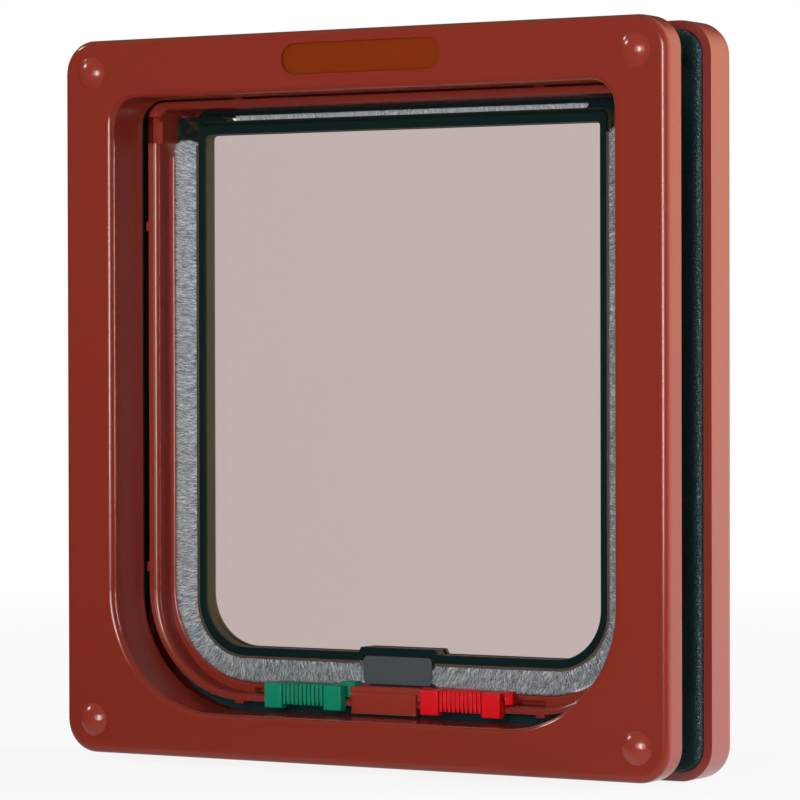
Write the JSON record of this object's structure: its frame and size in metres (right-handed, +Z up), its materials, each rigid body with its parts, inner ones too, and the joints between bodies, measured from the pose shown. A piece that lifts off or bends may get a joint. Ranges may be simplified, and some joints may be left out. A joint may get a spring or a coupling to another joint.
{
  "type": "cat_flap",
  "caption": "Lockable cat flap for a door: red-brown frames clamp the door, a smoked clear flap with a brush seal swings both ways, and green and red slides lock it.",
  "frame": {"origin": "Middle of the door cut-out on the indoor face of the door, where the indoor frame clamps.", "axes": "+X to the right seen from indoors, +Y from indoors to outdoors through the door, +Z up."},
  "size_m": [0.2136, 0.0458, 0.2258],
  "materials": {
    "redbrown": "satin moulded",
    "smoked_clear": "clear, smoked brown",
    "foam": "matt closed-cell foam",
    "steel": "zinc plated",
    "ferrite": "sintered, matt",
    "magnet_case": "matt moulded",
    "pile": "cut pile",
    "green": "satin moulded",
    "red": "satin moulded"
  },
  "bodies": {
    "frame": {"inside_frame": "redbrown", "outside_frame": "redbrown", "foam_gasket": "foam", "draught_strip": "foam", "fixing_screws": "steel", "screw_caps": "redbrown", "hinge_bushes": "redbrown", "magnet_cover": "redbrown", "frame_magnet": "ferrite"},
    "flap": {"flap_panel": "smoked_clear", "flap_magnet": "magnet_case", "brush_left": "pile", "brush_right": "pile", "brush_top": "pile"},
    "green_slide": {"green_lock": "green"},
    "red_slide": {"red_lock": "red"}
  },
  "joints": [
    {"name": "flap_swing", "type": "hinge", "parent": "frame", "child": "flap", "pos_m": [0, 0.0224, 0.0844], "axis": [1, 0, 0], "range_deg": [-85, 85]},
    {"name": "green_slide_travel", "type": "slide", "parent": "frame", "child": "green_slide", "axis": [1, 0, 0], "range_m": [-0.008, 0.0025]},
    {"name": "red_slide_travel", "type": "slide", "parent": "frame", "child": "red_slide", "axis": [1, 0, 0], "range_m": [-0.0025, 0.008]}
  ]
}
